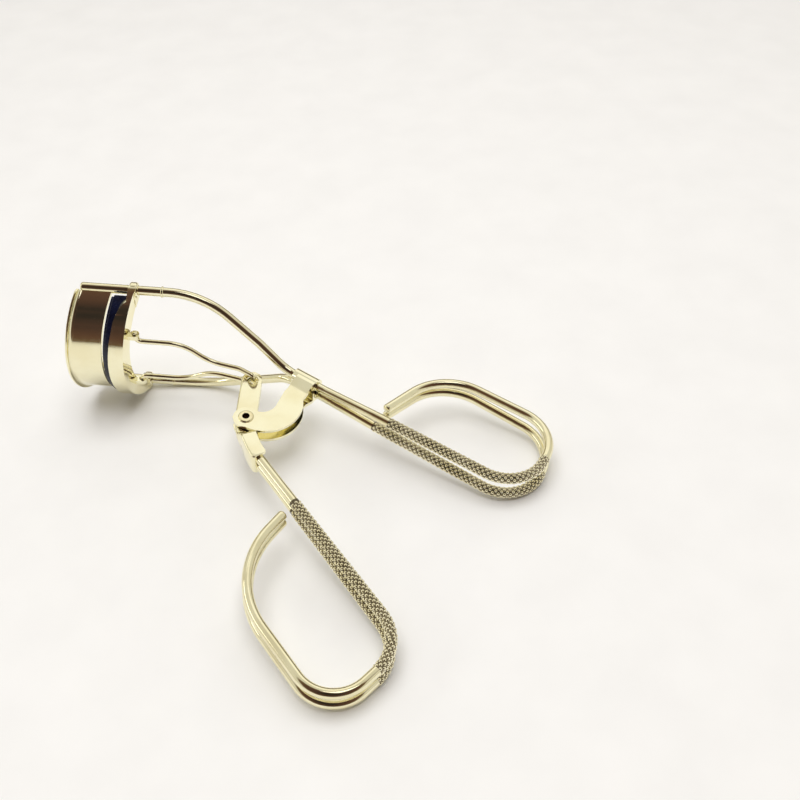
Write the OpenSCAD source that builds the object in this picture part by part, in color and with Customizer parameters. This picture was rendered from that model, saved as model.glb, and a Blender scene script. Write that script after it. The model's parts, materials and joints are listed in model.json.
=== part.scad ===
// Eyelash curler of bent wire and folded sheet, lying on its side.
// Everything is drawn in the tool's own frame: the origin is the centre of the pivot rivet,
// X runs from the jaws to the handles, Y is the pivot axis and the tool's mirror direction,
// Z runs towards the thumb loop. lay_down() then turns the tool onto its side on the table.

/* [Wires] */
// diameter of the frame and handle wire
wire_d = 2.3; // [2.1:0.1:2.4]
// diameter of the stamped grips
grip_d = 2.6; // [2.4:0.1:2.8]
// diameter of the push wire
push_d = 1.25; // [1.1:0.05:1.4]
// distance between the two posts, centre to centre
post_gap = 32; // [31:0.5:33]

/* [Jaws] */
// rise of the curved jaws above the line between the posts
jaw_rise = 11.3; // [10.5:0.1:12]
// thickness of the fixed front plate
plate_t = 0.8; // [0.8:0.1:1]
// length of the front plate along the posts, without the lip
plate_len = 6.8; // [6:0.2:7.4]
// wall of the pressed jaw channel
jaw_t = 0.6; // [0.5:0.05:0.7]
// how far the silicone pad stands out of the channel
pad_out = 1.7; // [1.4:0.1:1.8]

/* [Lever] */
// sheet thickness of the lever
lever_t = 0.6; // [0.5:0.05:0.65]
// width of the lever in side view
lever_w = 5.1; // [4.6:0.1:5.4]
// distance from the rivet to the push wire's hole
arm = 12.8; // [12.4:0.1:13]
// sheet thickness of the collar and its two cheeks
cheek_t = 0.75; // [0.6:0.05:0.8]

/* [Pivot] */
// outside diameter of the tubular rivet
rivet_d = 2.4; // [2.2:0.1:2.6]
// radial running clearance of every moving fit
run = 0.07; // [0.04:0.01:0.09]

/* [Hidden] */
$fn = 40;
post_y = post_gap / 2;
post_z = -25.8;
handle_angle = 31;
jaw_r = (post_y * post_y + jaw_rise * jaw_rise) / (2 * jaw_rise);
arc_z = post_z + jaw_rise - jaw_r;
lean = 11.3;
plate_x = -34.5;
lip_t = plate_t - 0.3;
lip_bend = 1;
lip_root = 0.15;
lip_rise = jaw_rise / cos(lean);
lip_r = (post_y * post_y + lip_rise * lip_rise) / (2 * lip_rise);
pad_gap = 0.55;
jaw_x = -28.6;
jaw_len = jaw_x - (plate_x + pad_gap + pad_out);
eyelet_x = -29.5;
eyelet_len = 2.1;
eyelet_top = 2.4;
stop_x = -23;
cheek_in = 1.2;
cheek_out = cheek_in + cheek_t;
lever_half = 0.95;
collar_x = 13.2;
collar_z = -13.15;
eye_x = -28.9;
eye_z = -18.3;
eye_y = 7.4;

function unit(v) = v / norm(v);

// turns the tool onto its side and puts its footprint's centre at the origin
module lay_down() {
  translate([-13.6, 20, 12.6])
    rotate([4.9, 6.5, 0])
      rotate([90, 0, 0])
        children();
}

// straight rod from a to b, longer by e at each end
module rod(a, b, d, e = 0) {
  v = b - a;
  translate(a - unit(v) * e)
    rotate([0, acos(v[2] / norm(v)), atan2(v[1], v[0])])
      cylinder(d = d, h = norm(v) + 2 * e);
}

// a round bend at corner b between the directions u (back) and v (onward)
module elbow(b, u, v, r, d) {
  turn = 180 - acos(u * v);
  c = b + unit(u + v) * r / cos(turn / 2);
  s = b + u * r * tan(turn / 2);
  x = unit(s - c);
  y = -u;
  z = cross(x, y);
  multmatrix([
    [x[0], y[0], z[0], c[0]],
    [x[1], y[1], z[1], c[1]],
    [x[2], y[2], z[2], c[2]]])
    rotate_extrude(angle = turn)
      translate([r, 0])
        circle(d = d + 0.02);
}

// rounded end of a wire at a, facing away from b
module wire_end(a, b, d) {
  v = a - b;
  translate(a)
    rotate([0, acos(v[2] / norm(v)), atan2(v[1], v[0])])
      rotate_extrude()
        intersection() {
          circle(d = d + 0.02);
          square([d, d]);
        }
}

// a wire along the corners p with a bend radius r at each inner corner
module bent_wire(p, r, d) {
  n = len(p);
  turns = [for (i = [1 : n - 2]) 180 - acos(unit(p[i - 1] - p[i]) * unit(p[i + 1] - p[i]))];
  cut = [for (i = [0 : n - 1]) (i == 0 || i == n - 1) ? 0 : r[i - 1] * tan(turns[i - 1] / 2)];
  for (i = [0 : n - 2]) {
    t = unit(p[i + 1] - p[i]);
    rod(p[i] + t * (cut[i] - (i > 0 ? 0.1 : 0)), p[i + 1] - t * (cut[i + 1] - 0.1), d);
  }
  for (i = [1 : n - 2])
    elbow(p[i], unit(p[i - 1] - p[i]), unit(p[i + 1] - p[i]), r[i - 1], d);
}

// flat plate of the side outline in X and Z, between y0 and y1
module side_plate(y0, y1) {
  translate([0, y1, 0])
    rotate([90, 0, 0])
      linear_extrude(y1 - y0)
        children();
}

// ---- frame wires ----

frame_path = [
  [-42.3, post_y, post_z],
  [-13, post_y, post_z],
  [1.2, 6.5, -19.7],
  [8.2, 1.25, -16.2],
  [18, 1.25, -10.3],
  [30, 1.95, -3.1],
  [65.6, 2.9, 18.3],
  [74.8, 2.6, -1.2],
  [46.9, 1.5, -18.5],
  [32.9, 1.25, -5.5]];
frame_bend = [24, 20, 10, 20, 40, 9.7, 10.3, 13.7];

module frame_wire() {
  bent_wire(frame_path, frame_bend, wire_d);
  wire_end(frame_path[9], frame_path[8], wire_d);
  grip_a = frame_path[5] + unit(frame_path[6] - frame_path[5]) * 8;
  grip_b = frame_path[5] + unit(frame_path[6] - frame_path[5]) * 33;
  rod(grip_a, grip_b, grip_d);
  translate([stop_x, post_y, post_z])
    rotate([0, 90, 0])
      cylinder(d = wire_d + 0.45, h = 0.6);
}

module frame_wire_left() {
  color("palegoldenrod")
    lay_down()
      frame_wire();
}

module frame_wire_right() {
  color("palegoldenrod")
    lay_down()
      mirror([0, 1, 0])
        frame_wire();
}

// ---- collar with its two cheeks, one stamping ----

module stadium(half, r) {
  translate([-half, -r])
    square([2 * half, 2 * r]);
  translate([-half, 0])
    circle(r = r);
  translate([half, 0])
    circle(r = r);
}

module collar_leg() {
  polygon([[2.3, 1.2], [3.15, 0.6], [3.2, 2.2], [cheek_out, 4.9], [cheek_out, 6.4],
    [cheek_in, 6.4], [cheek_in, 4.6], [2.4, 2.1]]);
}

module cheek_outline() {
  circle(r = 3.05);
  difference() {
    intersection() {
      translate([4.2, -4.9])
        circle(r = 8.9);
      polygon([[-3.2, 0], [0, 0], [1.3, -2.6], [6.6, -3.9], [8.35, -9.1], [12.9, -6.4],
        [16, -6], [16, 8], [-8, 8]]);
    }
    translate([3.4, -5.3])
      circle(r = 3.5);
  }
}

module collar_bracket() {
  color("khaki")
    lay_down()
      difference() {
        union() {
          translate([collar_x, 0, collar_z])
            rotate([0, -handle_angle, 0])
              translate([-3.3, 0, 0])
                rotate([90, 0, 90])
                  linear_extrude(6.6)
                    difference() {
                      stadium(1.25, wire_d / 2 + cheek_t);
                      stadium(1.25, wire_d / 2 + 0.06);
                    }
          translate([collar_x, 0, collar_z])
            rotate([0, -handle_angle, 0])
              translate([-2, 0, 0])
                rotate([90, 0, 90])
                  linear_extrude(5.1) {
                    collar_leg();
                    mirror([1, 0])
                      collar_leg();
                  }
          for (s = [-1, 1])
            side_plate(s > 0 ? cheek_in : -cheek_out, s > 0 ? cheek_out : -cheek_in)
              cheek_outline();
        }
        translate([0, 5, 0])
          rotate([90, 0, 0])
            cylinder(d = rivet_d + 0.02, h = 10);
      }
}

// ---- fixed front plate ----

// arched shell about the jaw axis, inner radius a, outer radius b, between x0 and x1 at post level
module arch(a, b, x0, x1) {
  intersection() {
    translate([-60, 0, arc_z])
      rotate([0, 90, 0])
        linear_extrude(45)
          difference() {
            circle(r = b, $fn = 96);
            circle(r = a, $fn = 96);
          }
    translate([0, 0, post_z])
      rotate([0, -lean, 0])
        translate([x0 * cos(lean), -30, 0])
          cube([(x1 - x0) * cos(lean), 60, 40]);
  }
}

module front_plate() {
  color("palegoldenrod")
    lay_down()
      difference() {
        union() {
          intersection() {
            arch(jaw_r - plate_t / 2, jaw_r + plate_t / 2, plate_x - plate_len, plate_x);
            translate([-60, -30, post_z])
              cube([40, 60, 40]);
          }
          lip();
        }
        for (s = [-1, 1])
          translate([-60, s * post_y, post_z])
            rotate([0, 90, 0])
              cylinder(d = wire_d + 0.04, h = 45);
      }
}

// outward flare along the plate's front edge
// quarter-round flare on a short straight root, which sits inside the plate's own thickness
module lip_profile() {
  difference() {
    union() {
      circle(r = lip_bend + lip_t);
      translate([-lip_bend - lip_t, -1])
        square([lip_bend + lip_t, 1]);
    }
    circle(r = lip_bend);
    translate([-lip_bend, -3])
      square([6, 3]);
    translate([-3, -3 - lip_root])
      square([6, 3]);
    translate([0, -3])
      square([6, 6]);
  }
}

module lip() {
  intersection() {
    translate([plate_x - plate_len, 0, post_z])
      rotate([0, -lean, 0])
        translate([0, 0, lip_rise - lip_r])
          rotate([0, -90, 0])
            rotate_extrude($fn = 96)
              translate([lip_r + lip_t / 2 + lip_bend, 0])
                lip_profile();
    translate([-60, -post_y - 0.3, post_z])
      cube([40, 2 * post_y + 0.6, 40]);
  }
}

// ---- pivot ----

module pivot_rivet() {
  color("khaki")
    lay_down()
      rotate([90, 0, 0])
        rotate_extrude() {
          translate([0.85, -cheek_out - 0.35])
            square([rivet_d / 2 - 0.85, 2 * cheek_out + 0.7]);
          for (m = [0, 1])
            mirror([0, m])
              translate([0, cheek_out]) {
                translate([0.85, 0])
                  square([0.65, 0.35]);
                translate([1.5, 0])
                  intersection() {
                    circle(r = 0.35);
                    square([1, 1]);
                  }
              }
        }
}

// ---- lever ----

lever_r = 25;

module lever_outline() {
  translate([-0.25, -arm])
    circle(d = lever_w);
  translate([-0.25 - lever_w / 2, -arm])
    square([lever_w, arm - 2.9]);
  intersection() {
    translate([lever_r - 0.25, -3])
      difference() {
        circle(r = lever_r + lever_w / 2, $fn = 120);
        circle(r = lever_r - lever_w / 2, $fn = 120);
      }
    polygon([[-4, -3], [24, -3], [24 - 28 * cos(36.5), -3 + 28 * sin(36.5)],
      [24.75 - 40 * cos(36.5), -3 + 40 * sin(36.5)]]);
  }
}

// the lever's front section, one closed shape of half width w at the top and v at the wires
module lever_front(w, v) {
  polygon([[-w, -20], [w, -20], [w, 4.6], [v, 8.2], [v, 16], [-v, 16], [-v, 8.2], [-w, 4.6]]);
}

module lever_section(w, v) {
  rotate([90, 0, 90])
    linear_extrude(40, center = true)
      lever_front(w, v);
}

module lever() {
  color("khaki")
    lay_down()
      difference() {
        intersection() {
          side_plate(-6, 6)
            lever_outline();
          lever_section(lever_half, 1.25 + wire_d / 2 + 0.02 + lever_t);
        }
        intersection() {
          lever_section(lever_half - lever_t, 1.25 + wire_d / 2 + 0.02);
          side_plate(-6, 6)
            lever_inside();
        }
        translate([0, 5, 0])
          rotate([90, 0, 0])
            cylinder(d = rivet_d + 2 * run, h = 10);
        translate([0, 5, -arm])
          rotate([90, 0, 0])
            cylinder(r = 1.35, h = 10);
      }
}

// the hollow between the lever's walls, open on the side of the handles
module lever_inside() {
  translate([-0.25 - lever_w / 2 + lever_t, -arm - 5])
    square([20, arm + 5 - 3]);
  intersection() {
    translate([lever_r - 0.25, -3])
      circle(r = lever_r + lever_w / 2 - lever_t, $fn = 120);
    translate([-4, -3.01])
      square([30, 30]);
  }
}

// ---- lever wires and thumb loop ----

lever_path = [
  [2.5, 1.25, 8.6],
  [3.7, 1.25, 10.5],
  [9.7, 1.25, 18.3],
  [38.9, 2.4, 56.7],
  [24.2, 2.2, 72.6],
  [0.7, 1.6, 42.9],
  [11.5, 1.3, 26.4]];
lever_bend = [5, 15, 9.7, 8.7, 20.7];

module lever_wire() {
  bent_wire(lever_path, lever_bend, wire_d);
  wire_end(lever_path[6], lever_path[5], wire_d);
  grip_a = lever_path[2] + unit(lever_path[3] - lever_path[2]) * 12;
  grip_b = lever_path[2] + unit(lever_path[3] - lever_path[2]) * 38;
  rod(grip_a, grip_b, grip_d);
}

module lever_wire_left() {
  color("palegoldenrod")
    lay_down()
      lever_wire();
}

module lever_wire_right() {
  color("palegoldenrod")
    lay_down()
      mirror([0, 1, 0])
        lever_wire();
}

// ---- push wire ----

push_path = [
  [eye_x, 9.3, eye_z],
  [eye_x, 6.2, eye_z],
  [-17.5, 6.2, -18.1],
  [-11, 1.9, -16.9],
  [-3.5, 1.9, -15.2],
  [0.2, 1.9, -13.1],
  [0.2, 0, -13.1]];
push_bend = [1, 6, 6, 4, 0.9];

module push_half() {
  bent_wire(push_path, push_bend, push_d);
  translate([eye_x, 9.3, eye_z])
    sphere(d = push_d + 0.5);
}

module push_wire() {
  color("palegoldenrod")
    lay_down() {
      push_half();
      mirror([0, 1, 0])
        push_half();
    }
}

// ---- moving jaw ----

// everything higher than h above the posts' centre line
module above_posts(h) {
  translate([-60, -30, post_z + h])
    cube([60, 60, 40]);
}

module jaw() {
  color("khaki")
    lay_down()
      difference() {
        union() {
          intersection() {
            difference() {
              arch(jaw_r - 2, jaw_r + 2, jaw_x - jaw_len, jaw_x);
              arch(jaw_r - 2 + jaw_t, jaw_r + 2 - jaw_t, jaw_x - 9, jaw_x - jaw_t);
            }
            above_posts(2);
          }
          for (m = [0, 1])
            mirror([0, m, 0]) {
              jaw_eye();
              eyelet();
            }
        }
        for (s = [-1, 1])
          translate([-60, s * post_y, post_z])
            rotate([0, 90, 0])
              cylinder(d = wire_d + 2 * run, h = 60);
        translate([eye_x, 30, eye_z])
          rotate([90, 0, 0])
            cylinder(d = push_d + 2 * run, h = 60);
      }
}

// small eye for the push wire's bent end, on the channel's rear wall
module jaw_eye() {
  translate([eye_x, 8.6, eye_z])
    rotate([90, 0, 0])
      cylinder(r = 1.15, h = 1.2);
  translate([eye_x - 1.7, 7.4, eye_z - 0.3])
    cube([1.7, 1.2, 1.45]);
}

// rolled end of the jaw's sheet round one post
module eyelet() {
  translate([eyelet_x - eyelet_len / 2, post_y, post_z])
    rotate([0, 90, 0])
      cylinder(r = 1.95, h = eyelet_len);
  intersection() {
    arch(jaw_r - 2, jaw_r + 2, eyelet_x - eyelet_len / 2, eyelet_x + eyelet_len / 2);
    translate([-60, 0, post_z - 0.2])
      cube([60, 30, 0.2 + eyelet_top]);
  }
}

module silicone_pad() {
  color("midnightblue")
    lay_down()
      intersection() {
        union() {
          arch(jaw_r - 2 + jaw_t + 0.02, jaw_r + 2 - jaw_t - 0.02,
            plate_x + pad_gap + 0.7, jaw_x - jaw_t - 0.02);
          arch(jaw_r - 0.9, jaw_r + 0.9, plate_x + pad_gap, plate_x + pad_gap + 0.8);
        }
        above_posts(eyelet_top + 0.05);
      }
}

frame_wire_left();
frame_wire_right();
collar_bracket();
front_plate();
pivot_rivet();
lever();
lever_wire_left();
lever_wire_right();
push_wire();
jaw();
silicone_pad();
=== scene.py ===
import json
import math

import bpy
from mathutils import Matrix, Vector


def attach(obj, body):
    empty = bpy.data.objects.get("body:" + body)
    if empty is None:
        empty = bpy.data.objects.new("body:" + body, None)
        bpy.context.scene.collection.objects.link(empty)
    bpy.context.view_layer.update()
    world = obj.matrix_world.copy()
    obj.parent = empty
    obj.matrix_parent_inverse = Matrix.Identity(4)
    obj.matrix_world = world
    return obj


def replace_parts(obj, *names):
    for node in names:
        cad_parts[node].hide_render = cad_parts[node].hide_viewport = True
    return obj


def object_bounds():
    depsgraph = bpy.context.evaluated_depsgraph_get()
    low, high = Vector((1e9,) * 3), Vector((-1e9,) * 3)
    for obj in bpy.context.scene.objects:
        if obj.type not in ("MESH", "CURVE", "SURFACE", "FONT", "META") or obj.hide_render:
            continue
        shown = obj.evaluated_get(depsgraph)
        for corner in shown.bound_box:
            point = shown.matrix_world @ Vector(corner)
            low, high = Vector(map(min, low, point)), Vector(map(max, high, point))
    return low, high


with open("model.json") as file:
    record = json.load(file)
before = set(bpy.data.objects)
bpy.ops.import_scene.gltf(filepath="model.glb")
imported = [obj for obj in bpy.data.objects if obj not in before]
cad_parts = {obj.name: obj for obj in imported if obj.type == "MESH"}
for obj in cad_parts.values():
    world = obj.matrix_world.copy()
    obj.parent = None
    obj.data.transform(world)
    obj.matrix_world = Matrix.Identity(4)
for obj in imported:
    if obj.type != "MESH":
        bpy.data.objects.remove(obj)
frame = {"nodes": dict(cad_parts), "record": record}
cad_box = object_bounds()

# ---------------------------------------------------------------- the tool's own frame
# The lever's rivet is the origin, the jaw slides along X, the rivet's axis is Y and Z points
# to the thumb loop. Two joints of the record place this frame; sizes in it are in millimetres.
MM = 0.001
JOINTS = {j["name"]: j for j in frame["record"]["behaviour"]["joints"]}
RIVET = Vector(JOINTS["lever_hinge"]["pos_m"])
X_AXIS = Vector(JOINTS["jaw_slide"]["axis"]).normalized()
Y_AXIS = -Vector(JOINTS["lever_hinge"]["axis"]).normalized()
Z_AXIS = X_AXIS.cross(Y_AXIS)
TURN = Matrix((X_AXIS, Y_AXIS, Z_AXIS)).transposed().to_4x4()
TOOL = Matrix.Translation(RIVET) @ TURN @ Matrix.Scale(MM, 4)

WIRE_R = 1.15
POST_Y = 16.0
POST_Z = -25.8

# stamped beads: top of a bead from the wire's axis, distance along a row, half sizes of one bead
GRIP_TOP_R = 1.36
BEAD_PITCH = 1.3
BEAD_HALF = (0.43, 0.40, 0.34)
BEADS_AROUND = 6
# the beads start this far along a grip's straight, go round its bend and end this far past it
FRAME_GRIP_START = {"left": 4.5, "right": 0.5}
FRAME_GRIP_PAST_BEND = 1
LEVER_GRIP_START = 7

# raised rings on the posts behind the jaw
STOP_X = -22.7
STOP_LENGTH = 0.6
STOP_HEIGHT = 0.22
STOP_ROUNDING = 0.18

# corners of the two bent wires in millimetres, for the left side; the right side has -Y
FRAME_PATH = [(-42.3, POST_Y, POST_Z), (-13, POST_Y, POST_Z), (1.2, 6.5, -19.7), (8.2, 1.25, -16.2),
              (18, 1.25, -10.3), (30, 1.95, -3.1), (65.6, 2.9, 18.3), (74.8, 2.6, -1.2),
              (46.9, 1.5, -18.5), (32.9, 1.25, -5.5)]
FRAME_BENDS = [24, 20, 10, 20, 40, 9.7, 10.3, 13.7]
LEVER_PATH = [(2.5, 1.25, 8.6), (3.7, 1.25, 10.5), (9.7, 1.25, 18.3), (38.9, 2.4, 56.7),
              (24.2, 2.2, 72.6), (0.7, 1.6, 42.9), (11.5, 1.3, 26.4)]
LEVER_BENDS = [5, 15, 9.7, 8.7, 20.7]

# one half of the push wire from the jaw's eye to the lever's hole
PUSH_R = 0.625
PUSH_HALF = [(-28.9, 9.3, -18.3), (-28.9, 6.2, -18.3), (-17.5, 6.2, -18.1), (-11, 1.9, -16.9),
             (-3.5, 1.9, -15.2), (0.2, 1.9, -13.1)]
PUSH_BENDS = [1.6, 12, 11, 4.5, 0.9]

# the folded lever: straight from its top to just before the rivet, curved from there on
ARM = 12.8
LEVER_CURVE_START = -3
LEVER_HALF_WIDTH = 2.55
LEVER_END_HALF_WIDTH = 1.8
LEVER_CURVE_R = 25
LEVER_CURVE_ANGLE = 36.5
LEVER_SHEET = 0.6
LEVER_TOP_HALF = 0.95
LEVER_END_HALF = 3.0
LEVER_SHIFT = -0.25
LEVER_FOLD_R = 0.5
LEVER_END_R = 0.7
LEVER_CURVE_STEPS = 24
LEVER_THINNEST = 0.05
LEVER_FLARE_START = 3.4
LEVER_FLARE_LENGTH = 2.4
PUSH_HOLE_R = 1.35
RIVET_HOLE_R = 1.27
LEVER_EDGE = 0.12
RIVET_BORE_R = 0.85

# the jaw's rolled ends round the posts
EYELET_X = -29.5
EYELET_R = 1.95
EYELET_LENGTH = 2.1
EYELET_ROUNDING = 0.62
EYELET_REACH = 1.2

# points closer than this are one point, in millimetres: in a wire, in a CAD mesh, in the cut jaw
WIRE_MERGE = 0.0005
CAD_MERGE = 0.001
JAW_MERGE = 0.01
# faces that meet at less than this many degrees are one flat face
FLAT_ANGLE = 0.5


# ---------------------------------------------------------------- small helpers
def only(obj):
    bpy.ops.object.select_all(action="DESELECT")
    obj.select_set(True)
    bpy.context.view_layer.objects.active = obj


def edit(obj):
    only(obj)
    bpy.ops.object.mode_set(mode="EDIT")
    bpy.ops.mesh.select_all(action="SELECT")


def done():
    bpy.ops.object.mode_set(mode="OBJECT")


def face_outwards(obj):
    edit(obj)
    bpy.ops.mesh.normals_make_consistent(inside=False)
    done()


def keep_place(obj):
    """Moves an object's place, turn and size into its mesh."""
    only(obj)
    bpy.ops.object.transform_apply(location=True, rotation=True, scale=True)


def rod(radius, length, place, turn, sides):
    """A plain cylinder in the tool's millimetres, to be shaped or to cut with."""
    bpy.ops.object.select_all(action="DESELECT")
    bpy.ops.mesh.primitive_cylinder_add(vertices=sides, radius=radius, depth=length,
                                        location=place, rotation=turn)
    obj = bpy.context.object
    keep_place(obj)
    return obj


def cut_away(obj, cutter):
    """Takes the cutter's space out of a piece and removes the cutter."""
    only(obj)
    cut = obj.modifiers.new("cut", "BOOLEAN")
    cut.operation = "DIFFERENCE"
    cut.object = cutter
    bpy.ops.object.modifier_apply(modifier="cut")
    bpy.data.objects.remove(cutter)


def from_points(name, points, faces):
    obj = bpy.data.objects.new(name, bpy.data.meshes.new(name))
    obj.data.from_pydata(points, [], faces)
    bpy.context.collection.objects.link(obj)
    face_outwards(obj)
    return obj


def into_place(obj):
    """Moves a piece made in the tool's millimetres to its place, and leaves it in its mesh."""
    obj.matrix_world = TOOL @ obj.matrix_world
    keep_place(obj)


def round_edges(obj, width, angle=35, segments=2):
    only(obj)
    bevel = obj.modifiers.new("edge", "BEVEL")
    bevel.width = width
    bevel.segments = segments
    bevel.limit_method = "ANGLE"
    bevel.angle_limit = math.radians(angle)
    bpy.ops.object.modifier_apply(modifier="edge")


def finish_piece(obj, name, body, material, smooth=32):
    obj.name = name
    obj.data.name = name
    obj.data.materials.clear()
    obj.data.materials.append(material)
    only(obj)
    bpy.ops.object.shade_smooth_by_angle(angle=math.radians(smooth))
    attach(obj, body)
    return obj


# ---------------------------------------------------------------- wire paths
class Path:
    """Straights and round bends through corners; at(s) gives the point and direction at s mm."""

    def __init__(self, corners, bends):
        p = [Vector(c) for c in corners]
        turns, cuts = [], [0.0]
        for i, r in enumerate(bends, 1):
            u, v = (p[i - 1] - p[i]).normalized(), (p[i + 1] - p[i]).normalized()
            turn = math.pi - u.angle(v)
            turns.append((u, v, turn))
            cuts.append(r * math.tan(turn / 2))
        cuts.append(0.0)
        self.parts, self.length = [], 0.0
        for i in range(len(p) - 1):
            d = (p[i + 1] - p[i]).normalized()
            a, b = p[i] + d * cuts[i], p[i + 1] - d * cuts[i + 1]
            self._add("line", (b - a).length, (a, d))
            if i < len(bends):
                u, v, turn = turns[i]
                centre = p[i + 1] + (u + v).normalized() * bends[i] / math.cos(turn / 2)
                self._add("bend", bends[i] * turn, (b, centre, d.cross(v).normalized(), turn, d))

    def _add(self, kind, length, data):
        self.parts.append((kind, self.length, length, data))
        self.length += length

    def at(self, s):
        for kind, start, length, data in self.parts:
            if s <= start + length:
                break
        if kind == "line":
            begin, direction = data
            return begin + direction * (s - start), direction
        begin, centre, axis, angle, direction = data
        turn = Matrix.Rotation((s - start) / length * angle, 3, axis)
        return centre + turn @ (begin - centre), turn @ direction

    def straight_start(self, number):
        """Straights and bends take turns, so straight 0 is part 0 and straight 1 is part 2."""
        return self.parts[2 * number][1]


def side(corners, sign):
    return [(x, sign * y, z) for x, y, z in corners]


WIRE_SIDES = 32
# rings of faces round a bend: one for each three degrees, and never fewer than six
BEND_STEP = 3
FEWEST_STEPS = 6
# a wire's end is rounded by this share of its radius
END_ROUNDING = 0.55


def bend_wire(path, radius):
    """A wire drawn along a path: a disc extruded along each straight and spun round each bend."""
    start, direction = path.at(0)
    bpy.ops.object.select_all(action="DESELECT")
    turn = direction.to_track_quat("Z", "Y").to_euler()
    bpy.ops.mesh.primitive_circle_add(vertices=WIRE_SIDES, radius=radius, fill_type="NGON",
                                      location=start, rotation=turn)
    wire = bpy.context.object
    keep_place(wire)
    edit(wire)
    for kind, _, length, data in path.parts:
        if kind == "line":
            count = max(1, round(length))
            step = data[1] * length / count
            for _ in range(count):
                bpy.ops.mesh.extrude_region_move(TRANSFORM_OT_translate={"value": step})
        else:
            _, centre, axis, angle, _ = data
            steps = max(FEWEST_STEPS, int(math.degrees(angle) / BEND_STEP))
            bpy.ops.mesh.spin(steps=steps, angle=-angle, center=centre, axis=axis)
    bpy.ops.mesh.select_all(action="SELECT")
    bpy.ops.mesh.remove_doubles(threshold=WIRE_MERGE)
    bpy.ops.mesh.select_all(action="DESELECT")
    bpy.ops.mesh.select_interior_faces()
    bpy.ops.mesh.delete(type="ONLY_FACE")
    bpy.ops.mesh.select_all(action="SELECT")
    bpy.ops.mesh.normals_make_consistent(inside=False)
    done()
    round_edges(wire, radius * END_ROUNDING, angle=60, segments=5)
    return wire


def stamped_beads(path, start, end, name, body, material):
    """Rows of stamped beads in a diamond pattern round a grip, one small bead copied."""
    bpy.ops.object.select_all(action="DESELECT")
    bpy.ops.mesh.primitive_uv_sphere_add(segments=10, ring_count=6, radius=1)
    bead = bpy.context.object
    bead.scale = BEAD_HALF
    only(bead)
    bpy.ops.object.transform_apply(scale=True)
    row = BEAD_PITCH * 0.5
    copies = []
    for i in range(int((end - start) / row) + 1):
        point, d = path.at(start + i * row)
        out = Vector((0, 0, 1)).cross(d).normalized()
        for k in range(BEADS_AROUND):
            angle = 2 * math.pi * (k + 0.5 * (i % 2)) / BEADS_AROUND
            n = Matrix.Rotation(angle, 3, d) @ out
            seat = Matrix((d, n.cross(d), n)).transposed().to_4x4()
            seat.translation = point + n * (GRIP_TOP_R - BEAD_HALF[2])
            mesh = bead.data.copy()
            mesh.transform(seat)
            copy = bpy.data.objects.new(name, mesh)
            bpy.context.collection.objects.link(copy)
            copies.append(copy)
    bpy.data.objects.remove(bead)
    bpy.ops.object.select_all(action="DESELECT")
    for c in copies:
        c.select_set(True)
    bpy.context.view_layer.objects.active = copies[0]
    bpy.ops.object.join()
    beads = bpy.context.object
    into_place(beads)
    return finish_piece(beads, name, body, material, smooth=60)


def shade_grip(wire, path, start, end, material):
    """The wire's skin between the beads is painted darker: painted shade between the beads."""
    wire.data.materials.append(material)
    line = [TOOL @ path.at(start + 0.5 * i)[0] for i in range(int(2 * (end - start)) + 1)]
    reach = (WIRE_R + 0.15) * MM
    for face in wire.data.polygons:
        if min((face.center - p).length for p in line) < reach:
            face.material_index = 1


# ---------------------------------------------------------------- materials
def nodes_of(name):
    mat = bpy.data.materials.new(name)
    mat.use_nodes = True
    tree = mat.node_tree
    return mat, tree, tree.nodes["Principled BSDF"]


def add(tree, kind, **values):
    node = tree.nodes.new(kind)
    for k, v in values.items():
        if k.startswith("in_"):
            node.inputs[k[3:].replace("_", " ")].default_value = v
        else:
            setattr(node, k, v)
    return node


def ramp(tree, source, stops):
    node = add(tree, "ShaderNodeValToRGB")
    cr = node.color_ramp
    while len(cr.elements) < len(stops):
        cr.elements.new(0.5)
    for e, (pos, col) in zip(cr.elements, stops):
        e.position = pos
        e.color = (*col, 1)
    tree.links.new(source, node.inputs[0])
    return node.outputs[0]


def spread(tree, source, low, high, from_low=0.0, from_high=1.0):
    """Stretches a value's range from_low..from_high to low..high."""
    node = add(tree, "ShaderNodeMapRange")
    node.inputs["From Min"].default_value = from_low
    node.inputs["From Max"].default_value = from_high
    node.inputs["To Min"].default_value = low
    node.inputs["To Max"].default_value = high
    tree.links.new(source, node.inputs["Value"])
    return node.outputs[0]


def fine_bumps(tree, source, strength, height):
    bump = add(tree, "ShaderNodeBump")
    bump.inputs["Strength"].default_value = strength
    bump.inputs["Distance"].default_value = height
    tree.links.new(source, bump.inputs["Height"])
    return bump.outputs[0]


def plated(name, pale, deep, rough_low, rough_high, drawn=(1, 1, 1), pits=0.0):
    """Polished pale gold plate: cloudy tone, polish marks along drawn, a few dull handling marks."""
    mat, tree, shader = nodes_of(name)
    link = tree.links.new
    shader.inputs["Metallic"].default_value = 1
    coords = add(tree, "ShaderNodeTexCoord")
    cloud = add(tree, "ShaderNodeTexNoise", in_Scale=140, in_Detail=3, in_Roughness=0.5)
    link(coords.outputs["Object"], cloud.inputs["Vector"])
    link(ramp(tree, cloud.outputs[0], [(0.32, deep), (0.6, pale)]), shader.inputs["Base Color"])
    marks = add(tree, "ShaderNodeTexNoise", in_Scale=900, in_Detail=5, in_Roughness=0.7)
    link(coords.outputs["Object"], marks.inputs["Vector"])
    link(spread(tree, marks.outputs[0], rough_low, rough_high, 0.35, 0.7), shader.inputs["Roughness"])
    stretch = add(tree, "ShaderNodeMapping")
    stretch.inputs["Scale"].default_value = drawn
    polish = add(tree, "ShaderNodeTexNoise", in_Scale=2600, in_Detail=2, in_Roughness=0.5)
    link(coords.outputs["Object"], stretch.inputs["Vector"])
    link(stretch.outputs[0], polish.inputs["Vector"])
    link(fine_bumps(tree, polish.outputs[0], 0.04 + pits, 0.03 * MM), shader.inputs["Normal"])
    return mat


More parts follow.
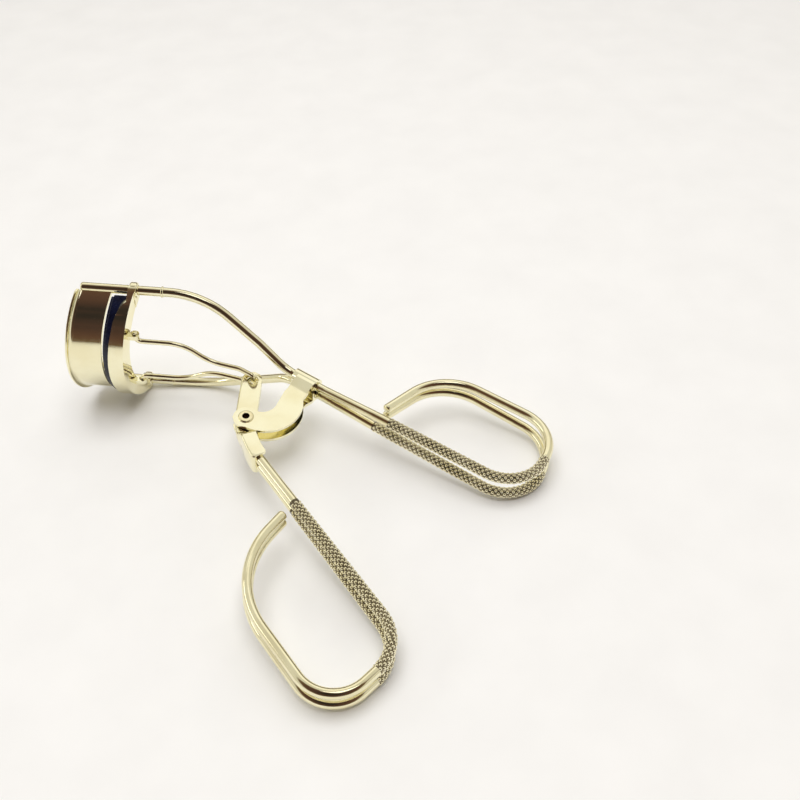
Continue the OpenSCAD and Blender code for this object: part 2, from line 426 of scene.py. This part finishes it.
def silicone_finish(name):
    """Satin navy-black silicone with a faint haze of fingermarks."""
    mat, tree, shader = nodes_of(name)
    link = tree.links.new
    shader.inputs["Specular IOR Level"].default_value = 0.45
    coords = add(tree, "ShaderNodeTexCoord")
    tone = add(tree, "ShaderNodeTexNoise", in_Scale=300, in_Detail=3)
    link(coords.outputs["Object"], tone.inputs["Vector"])
    link(ramp(tree, tone.outputs[0], [(0.35, (0.002, 0.003, 0.014)), (0.65, (0.005, 0.008, 0.030))]),
         shader.inputs["Base Color"])
    haze = add(tree, "ShaderNodeTexNoise", in_Scale=1500, in_Detail=4)
    link(coords.outputs["Object"], haze.inputs["Vector"])
    link(spread(tree, haze.outputs[0], 0.20, 0.36), shader.inputs["Roughness"])
    link(fine_bumps(tree, haze.outputs[0], 0.12, 0.02 * MM), shader.inputs["Normal"])
    return mat


def two_tones(tree, share, first, second):
    """Mixes two tones, each a plain colour or another node's output; share 0 is all first."""
    mix = add(tree, "ShaderNodeMix", data_type="RGBA")
    tree.links.new(share, mix.inputs[0])
    for tone, socket in ((first, mix.inputs[6]), (second, mix.inputs[7])):
        if isinstance(tone, tuple):
            socket.default_value = (*tone, 1)
        else:
            tree.links.new(tone, socket)
    return mix.outputs[2]


def shade_rivet_bore(mat, radius):
    """The rivet's hollow is painted dull brown up to its rim: painted shade inside the bore."""
    tree, link = mat.node_tree, mat.node_tree.links.new
    shader = tree.nodes["Principled BSDF"]
    coords = add(tree, "ShaderNodeTexCoord")
    offset = add(tree, "ShaderNodeVectorMath", operation="SUBTRACT")
    offset.inputs[1].default_value = RIVET
    across = add(tree, "ShaderNodeVectorMath", operation="CROSS_PRODUCT")
    across.inputs[1].default_value = Y_AXIS
    distance = add(tree, "ShaderNodeVectorMath", operation="LENGTH")
    link(coords.outputs["Object"], offset.inputs[0])
    link(offset.outputs["Vector"], across.inputs[0])
    link(across.outputs["Vector"], distance.inputs[0])
    rim_width = 0.06
    rim = spread(tree, distance.outputs["Value"], 0, 1, radius * MM, (radius + rim_width) * MM)
    polished = shader.inputs["Base Color"].links[0].from_socket
    # painted shade: dark brown inside the bore, the polished gold from the rim outwards
    link(two_tones(tree, rim, (0.09, 0.055, 0.03), polished), shader.inputs["Base Color"])


wire_gold = plated("wire_gold", (0.93, 0.88, 0.62), (0.85, 0.78, 0.51), 0.05, 0.13, (0.15, 1, 1))
# the beads' gold is painted paler than the wire's so that the beads look brighter: a painted highlight for
# their glints
bead_gold_painted_bright = plated("bead_gold_painted_bright", (0.97, 0.92, 0.68), (0.86, 0.79, 0.52), 0.07, 0.18, pits=0.03)
# the skin between the beads is painted dark brown, as painted shade between them
grip_painted_shade_gold = plated("grip_painted_shade_gold", (0.26, 0.22, 0.14), (0.08, 0.065, 0.04), 0.22, 0.40, pits=0.10)
sheet_gold = plated("sheet_gold", (0.94, 0.90, 0.65), (0.89, 0.83, 0.56), 0.06, 0.15, (1, 0.2, 1))
rivet_gold = plated("rivet_gold", (0.88, 0.80, 0.52), (0.70, 0.59, 0.34), 0.09, 0.20, pits=0.04)
silicone = silicone_finish("navy_silicone")
# paints shade into the rivet's bore, dark brown up to its rim
shade_rivet_bore(rivet_gold, RIVET_BORE_R)

# ---------------------------------------------------------------- bent wires, beads and stops
# turns that lay a rod along the posts and along the rivet
ALONG_POST = (0, math.pi / 2, 0)
ALONG_RIVET = (math.pi / 2, 0, 0)


def polished_wire(path, radius, node, body):
    wire = bend_wire(path, radius)
    into_place(wire)
    finish_piece(wire, f"{node}_polished", body, wire_gold, smooth=50)
    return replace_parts(wire, node)


def beaded_grip(wire, path, start, end, name, body):
    shade_grip(wire, path, start, end, grip_painted_shade_gold)
    stamped_beads(path, start, end, name, body, bead_gold_painted_bright)


def post_stop(tag, sign):
    stop = rod(WIRE_R + STOP_HEIGHT, STOP_LENGTH, (STOP_X, sign * POST_Y, POST_Z), ALONG_POST, 32)
    round_edges(stop, STOP_ROUNDING, segments=3)
    into_place(stop)
    finish_piece(stop, f"post_stop_{tag}", "frame", wire_gold)


for tag, sign in (("left", 1), ("right", -1)):
    path = Path(side(FRAME_PATH, sign), FRAME_BENDS)
    wire = polished_wire(path, WIRE_R, f"frame_wire_{tag}", "frame")
    beaded_grip(wire, path, path.straight_start(5) + FRAME_GRIP_START[tag],
                path.straight_start(6) + FRAME_GRIP_PAST_BEND, f"frame_grip_{tag}", "frame")
    post_stop(tag, sign)
    path = Path(side(LEVER_PATH, sign), LEVER_BENDS)
    wire = polished_wire(path, WIRE_R, f"lever_wire_{tag}", "lever")
    beaded_grip(wire, path, path.straight_start(2) + LEVER_GRIP_START,
                path.straight_start(3), f"lever_grip_{tag}", "lever")


# ---------------------------------------------------------------- sheet pieces, edges rounded
# seen along Z, as (x, distance from the middle): what is cut off the jaw's front at each
# shoulder, and off the pad's front at each end
SHOULDER = [(-37, 20), (-30.6, 20), (-30.6, 16.1), (-31.3, 15.8), (-32.1, 15.2), (-32.8, 14.1),
            (-33.4, 12.8), (-33.8, 10.9), (-34.3, 8.5), (-34.65, 5.5), (-34.85, 3.0), (-37, 3.0)]
PAD_CORNER = [(-38, 18), (-38, 14.6), (-36.45, 14.6), (-36.3, 15.0), (-36.0, 15.4), (-35.5, 15.72),
              (-35.0, 15.88), (-34.4, 15.95), (-34.4, 18)]
# seen along a post, as (outwards, up) from its centre line: the space a rolled end is shaped in
ROUND_POST = [(3, -2.4), (3, 0.9), (0, 0.9), (0, -0.3), (-3, -0.3), (-3, -2.4)]
# from and to which height over the posts' centre lines the first two outlines cut
SHOULDER_DEPTH = (-6, 22)
PAD_DEPTH = (1, 6)


def prism(outline, place, depth, name):
    """A straight-sided piece from a flat outline; place turns (u, v, w) into the tool's millimetres."""
    n = len(outline)
    points = [place(u, v, w) for w in depth for u, v in outline]
    ends = [list(range(n)), [n + k for k in reversed(range(n))]]
    sides = [[k, n + k, n + (k + 1) % n, (k + 1) % n] for k in range(n)]
    return from_points(name, points, ends + sides)


def shape_jaw_ends(jaw):
    """Tapers both shoulders and makes the rolled ends barrel-shaped."""
    for sign in (1, -1):
        shoulder = prism(SHOULDER, lambda x, y, z: (x, sign * y, POST_Z + z), SHOULDER_DEPTH, "shoulder")
        into_place(shoulder)
        cut_away(jaw, shoulder)
        outside = prism(ROUND_POST, lambda v, z, x: (x, sign * (POST_Y + v), POST_Z + z),
                        (EYELET_X - EYELET_REACH, EYELET_X + EYELET_REACH), "outside")
        barrel = rod(EYELET_R, EYELET_LENGTH, (EYELET_X, sign * POST_Y, POST_Z), ALONG_POST, 64)
        round_edges(barrel, EYELET_ROUNDING, segments=6)
        cut_away(outside, barrel)
        into_place(outside)
        cut_away(jaw, outside)
    edit(jaw)
    bpy.ops.mesh.remove_doubles(threshold=JAW_MERGE * MM)
    done()


def round_pad_ends(pad):
    """Takes the sharp front corner off each end of the pad."""
    for sign in (1, -1):
        corner = prism(PAD_CORNER, lambda x, y, z: (x, sign * y, POST_Z + z), PAD_DEPTH, "corner")
        into_place(corner)
        cut_away(pad, corner)


def soften(node, body, material, width, shape=None):
    """A copy of a CAD piece with its flat faces made whole, shaped, and its sharp edges rounded."""
    source = frame["nodes"][node]
    obj = source.copy()
    obj.data = source.data.copy()
    bpy.context.collection.objects.link(obj)
    if obj.data.has_custom_normals:
        only(obj)
        bpy.ops.mesh.customdata_custom_splitnormals_clear()
    edit(obj)
    bpy.ops.mesh.remove_doubles(threshold=CAD_MERGE * MM)
    bpy.ops.mesh.dissolve_limited(angle_limit=math.radians(FLAT_ANGLE))
    done()
    if shape:
        shape(obj)
    round_edges(obj, width * MM)
    finish_piece(obj, f"{node}_rounded", body, material)
    only(obj)
    even = obj.modifiers.new("even", "WEIGHTED_NORMAL")
    even.keep_sharp = True
    bpy.ops.object.modifier_apply(modifier="even")
    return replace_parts(obj, node)


soften("collar_bracket", "frame", sheet_gold, 0.10)
soften("front_plate", "frame", sheet_gold, 0.08)
soften("pivot_rivet", "frame", rivet_gold, 0.08)
soften("jaw", "jaw", sheet_gold, 0.08, shape_jaw_ends)
soften("silicone_pad", "jaw", silicone, 0.25, round_pad_ends)

# ---------------------------------------------------------------- push wire and folded lever
push_path = Path(PUSH_HALF + side(PUSH_HALF[::-1], -1), PUSH_BENDS + PUSH_BENDS[::-1])
polished_wire(push_path, PUSH_R, "push_wire", "push_link")


def lever_stations():
    """(x, z, lean, half width, half height) of the lever's sections from its top to its lower end."""
    wide, narrow = LEVER_HALF_WIDTH, LEVER_END_HALF_WIDTH
    out = []
    # the rounded top
    for degrees in range(12, 91, 6):
        a = math.radians(degrees)
        out.append((LEVER_SHIFT, -ARM - wide * math.cos(a), 0, wide * math.sin(a), LEVER_TOP_HALF))
    out.append((LEVER_SHIFT, LEVER_CURVE_START, 0, wide, LEVER_TOP_HALF))
    last = math.radians(LEVER_CURVE_ANGLE) - LEVER_END_R / LEVER_CURVE_R
    turns = [(last * i / LEVER_CURVE_STEPS, 0) for i in range(1, LEVER_CURVE_STEPS + 1)]
    # the rounded corners of the lower end
    for degrees in (18, 36, 54, 72, 90):
        c = math.radians(degrees)
        turns.append((last + LEVER_END_R * math.sin(c) / LEVER_CURVE_R, LEVER_END_R * (1 - math.cos(c))))
    for a, rounding in turns:
        x = LEVER_SHIFT + LEVER_CURVE_R * (1 - math.cos(a))
        z = LEVER_CURVE_START + LEVER_CURVE_R * math.sin(a)
        t = min(max((z - LEVER_FLARE_START) / LEVER_FLARE_LENGTH, 0), 1)
        t = t * t * (3 - 2 * t)
        half = wide + (narrow - wide) * t - rounding
        out.append((x, z, a, half, LEVER_TOP_HALF + (LEVER_END_HALF - LEVER_TOP_HALF) * t))
    return out


def section(x, z, lean, half, height):
    """The outline of the sheet folded into a channel that opens to the handle side."""
    inner, flat = min(LEVER_SHEET - half, half - LEVER_THINNEST), height - LEVER_SHEET
    r = min(LEVER_FOLD_R, half)
    # a quarter circle in four steps
    fold = [(r - half - r * math.sin(t), height - r + r * math.cos(t))
            for t in (math.radians(22.5 * k) for k in range(5))]
    shape = [(half, height)] + fold + [(u, -y) for u, y in fold[::-1]]
    shape += [(half, -height), (half, -flat), (inner, -flat), (inner, flat), (half, flat)]
    return [Vector((x + u * math.cos(lean), y, z - u * math.sin(lean))) for u, y in shape]


def folded_lever():
    """The lever's sections joined from end to end, with its two holes cut and its edges rounded."""
    rings = [section(*s) for s in lever_stations()]
    n = len(rings[0])
    faces = [[i * n + k, i * n + (k + 1) % n, (i + 1) * n + (k + 1) % n, (i + 1) * n + k]
             for i in range(len(rings) - 1) for k in range(n)]
    faces += [list(range(n)), [(len(rings) - 1) * n + k for k in reversed(range(n))]]
    lever = from_points("lever_sheet", [v for r in rings for v in r], faces)
    for radius, z in ((PUSH_HOLE_R, -ARM), (RIVET_HOLE_R, 0)):
        drill = rod(radius, 10, (0, 0, z), ALONG_RIVET, 48)
        cut_away(lever, drill)
    round_edges(lever, LEVER_EDGE, angle=30, segments=3)
    into_place(lever)
    finish_piece(lever, "lever_folded", "lever", sheet_gold, smooth=30)
    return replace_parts(lever, "lever")


folded_lever()

# ---------------------------------------------------------------- floor, lights and camera
lo, hi = cad_box
middle = (Vector(lo) + Vector(hi)) / 2
span = (Vector(hi) - Vector(lo)).length
FLOOR_SPANS = 30

bpy.ops.object.select_all(action="DESELECT")
bpy.ops.mesh.primitive_plane_add(size=FLOOR_SPANS * span, location=(middle.x, middle.y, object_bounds()[0].z))
floor = bpy.context.object
floor.name = "floor"
mat, tree, shader = nodes_of("floor_pale")
coords = add(tree, "ShaderNodeTexCoord")
grain = add(tree, "ShaderNodeTexNoise", in_Scale=60, in_Detail=3)
tree.links.new(coords.outputs["Object"], grain.inputs["Vector"])
tree.links.new(ramp(tree, grain.outputs[0], [(0.3, (0.90, 0.90, 0.90)), (0.7, (0.93, 0.93, 0.93))]),
               shader.inputs["Base Color"])
shader.inputs["Roughness"].default_value = 0.9
floor.data.materials.append(mat)


def soft_light(name, place, size, radiance, in_gloss=True):
    """A soft box; place is in tool lengths from its middle, radiance is its brightness to the eye."""
    data = bpy.data.lights.new(name, "AREA")
    data.shape = "RECTANGLE"
    data.size, data.size_y = size[0] * span, size[1] * span
    data.energy = radiance * math.pi * data.size * data.size_y
    light = bpy.data.objects.new(name, data)
    bpy.context.collection.objects.link(light)
    light.location = middle + Vector(place) * span
    light.rotation_euler = (middle - light.location).to_track_quat("-Z", "Y").to_euler()
    light.visible_glossy = in_gloss


# a wide dim window lights the flat faces, two smaller and brighter strips draw the lines on the
# wires, and a fill from above lifts the floor without showing in the metal
soft_light("window", (0.2, 3.0, 3.0), (4.2, 2.8), 0.34)
soft_light("side_strip", (-3.4, 0.2, 1.8), (2.6, 0.45), 2.4)
soft_light("top_strip", (0.8, -0.6, 4.2), (1.5, 1.5), 1.5)
soft_light("floor_fill", (0.0, 0.0, 5.0), (4.0, 4.0), 3.1, in_gloss=False)


# the room's tone by direction: -1 is straight away from the camera and 1 is straight at it
PALE = (0.70, 0.675, 0.61)
LOW_WALL = (0.16, 0.12, 0.08)
ROOM_TONES = [(-0.66, LOW_WALL), (-0.42, LOW_WALL), (-0.34, PALE), (0.61, PALE),
              (0.68, (0.17, 0.12, 0.07)), (0.78, (0.11, 0.058, 0.042)),
              (0.92, (0.07, 0.040, 0.032)), (1.0, (0.025, 0.022, 0.020))]
# how much a noise shifts the borders between the tones
CLUTTER = 0.16
# what the camera sees past the floor's edge
BACKDROP = (0.85, 0.85, 0.85)


def studio_room(toward_camera):
    """A pale room, dark brown where the camera stands and low down at the far side."""
    world = bpy.data.worlds.new("studio")
    bpy.context.scene.world = world
    world.use_nodes = True
    tree = world.node_tree
    coords = add(tree, "ShaderNodeTexCoord")
    facing = add(tree, "ShaderNodeVectorMath", operation="DOT_PRODUCT")
    facing.inputs[1].default_value = toward_camera
    tree.links.new(coords.outputs["Generated"], facing.inputs[0])
    clutter = add(tree, "ShaderNodeTexNoise", in_Scale=5, in_Detail=2, in_Roughness=0.6)
    tree.links.new(coords.outputs["Generated"], clutter.inputs["Vector"])
    uneven = add(tree, "ShaderNodeMath", operation="MULTIPLY_ADD")
    uneven.inputs[1].default_value = CLUTTER
    tree.links.new(clutter.outputs[0], uneven.inputs[0])
    tree.links.new(facing.outputs["Value"], uneven.inputs[2])
    share = spread(tree, uneven.outputs[0], 0, 1, -1 + CLUTTER / 2, 1 + CLUTTER / 2)
    tone = ramp(tree, share, [((1 + turned) / 2, tint) for turned, tint in ROOM_TONES])
    seen = add(tree, "ShaderNodeLightPath")
    wall = two_tones(tree, seen.outputs["Is Camera Ray"], tone, BACKDROP)
    ground = tree.nodes["Background"]
    tree.links.new(wall, ground.inputs["Color"])
    ground.inputs["Strength"].default_value = 1.0


bpy.context.scene.view_settings.view_transform = "Standard"

# the camera stands above the left post, in the tool's own frame and millimetres
CAMERA_PLACE = Vector((26.5, 187.9, 153.6))
CAMERA_RIGHT = Vector((0.997, 0.076, -0.018)).normalized()
CAMERA_LOOK = Vector((0.045, -0.744, -0.666)).normalized()
look = (TOOL.to_3x3() @ CAMERA_LOOK).normalized()
right = (TOOL.to_3x3() @ CAMERA_RIGHT).normalized()
up = right.cross(look)
data = bpy.data.cameras.new("camera")
data.sensor_width = 36
data.lens = 45.6
data.shift_x = -0.0074
data.shift_y = -0.017
data.clip_start = 0.005
camera = bpy.data.objects.new("camera", data)
bpy.context.collection.objects.link(camera)
camera.matrix_world = Matrix.Translation(TOOL @ CAMERA_PLACE) @ Matrix(
    (right, up, -look)).transposed().to_4x4()
bpy.context.scene.camera = camera
studio_room(-look)
